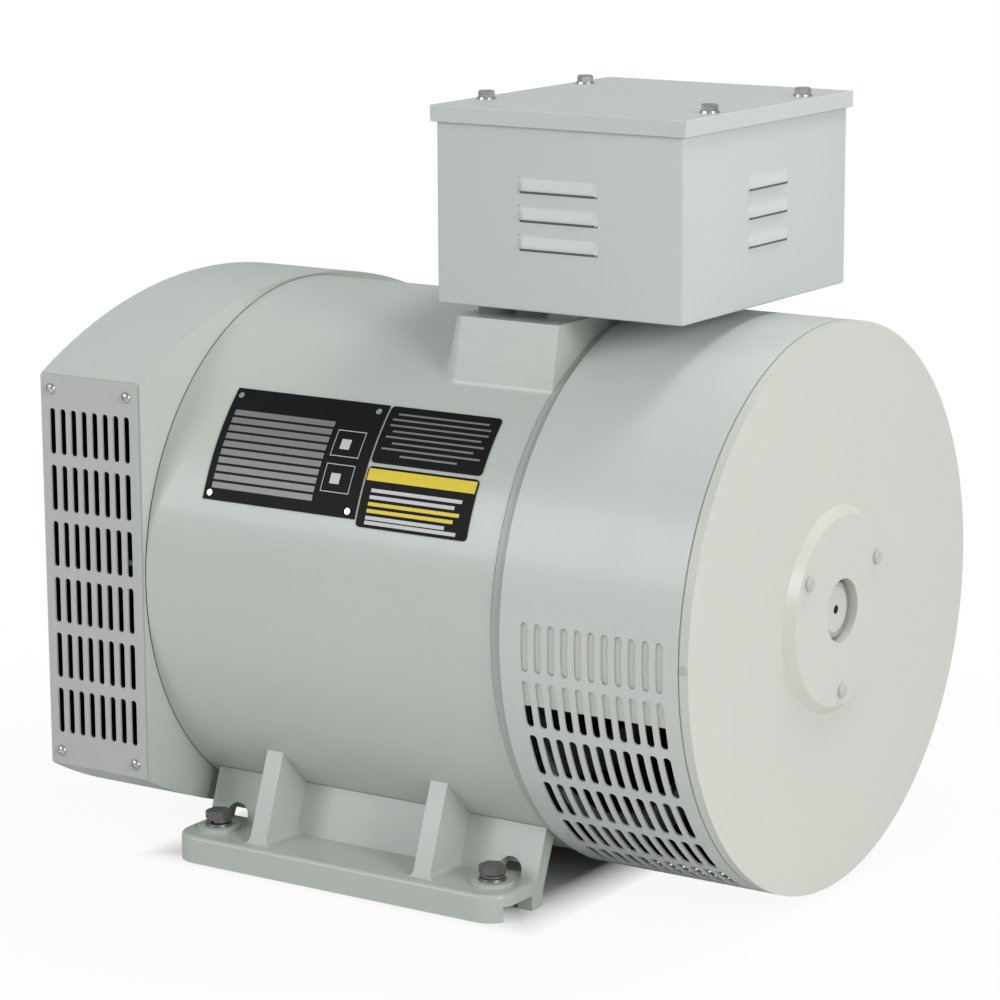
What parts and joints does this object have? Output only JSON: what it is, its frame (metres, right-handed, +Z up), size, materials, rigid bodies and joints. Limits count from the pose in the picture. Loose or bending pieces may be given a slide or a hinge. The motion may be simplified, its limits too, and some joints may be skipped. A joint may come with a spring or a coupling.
{
  "type": "generator alternator head",
  "caption": "Foot-mounted brush-type alternator head with cast frame, slotted end band, grilled drive-end housing and a louvred terminal box on top.",
  "frame": {"origin": "on the base plane under the feet, at the centre of the four foot bolts", "axes": "+X along the shaft towards the non-drive end, +Z up, -Y the side with the rating plate"},
  "size_m": [0.6785, 0.4032, 0.5562],
  "materials": {
    "casting_paint": "satin",
    "box_paint": "satin",
    "sheet_paint": "satin",
    "zinc": "satin",
    "dark_steel": "matte",
    "machined_steel": "satin",
    "lamination": "matte",
    "copper": "gloss",
    "brass": "satin",
    "aluminium": "cast",
    "carbon": "matte",
    "insulation": "matte",
    "rubber": "matte",
    "plate_print": "satin",
    "label_print": "satin"
  },
  "bodies": {
    "stator": {"stator_frame": "casting_paint", "stator_core": "lamination", "stator_windings": "copper", "drive_housing": "casting_paint", "de_bearing_outer": "machined_steel", "de_bearing_cap": "casting_paint", "de_cap_screws": "zinc", "housing_bolts": "zinc", "grille_plate_near": "sheet_paint", "grille_plate_far": "sheet_paint", "grille_screws": "zinc", "nde_bracket": "casting_paint", "nde_bracket_bolts": "zinc", "slotted_band": "sheet_paint", "rim_screws": "casting_paint", "nde_bearing_outer": "machined_steel", "bearing_cap": "dark_steel", "bearing_cap_screws": "casting_paint", "brush_board": "insulation", "brush_board_screws": "zinc", "brush_holders": "brass", "terminal_box": "box_paint", "box_lid": "box_paint", "lid_bolts": "zinc", "box_spacers": "rubber", "box_bolts": "zinc", "entry_grommet": "rubber", "terminal_board": "insulation", "terminal_studs": "brass", "terminal_nuts": "brass", "rectifier": "aluminium", "rating_plate": "plate_print", "plate_rivets": "zinc", "label_plate_upper": "label_print", "label_plate_lower": "label_print", "foot_bolts": "dark_steel", "foot_washers": "zinc", "foot_spring_washers": "dark_steel", "foot_nuts": "dark_steel"},
    "rotor": {"shaft": "machined_steel", "rotor_core": "lamination", "field_coils": "copper", "fan": "aluminium", "slip_ring_hub": "insulation", "slip_rings": "brass", "de_bearing_inner": "machined_steel", "nde_bearing_inner": "machined_steel"},
    "brush_unit_a": {"brush_a": "carbon", "brush_spring_a": "machined_steel"},
    "brush_unit_b": {"brush_b": "carbon", "brush_spring_b": "machined_steel"}
  },
  "joints": [
    {"name": "rotor_spin", "type": "hinge", "parent": "stator", "child": "rotor", "pos_m": [0, 0, 0.205], "axis": [1, 0, 0], "continuous": true},
    {"name": "brush_lift_a", "type": "slide", "parent": "stator", "child": "brush_unit_a", "axis": [0, 0, 1], "range_m": [0, 0.006], "stiffness_N_per_m": 60, "springref_m": -0.03},
    {"name": "brush_lift_b", "type": "slide", "parent": "stator", "child": "brush_unit_b", "axis": [0, 0, 1], "range_m": [0, 0.006], "stiffness_N_per_m": 60, "springref_m": -0.03}
  ]
}
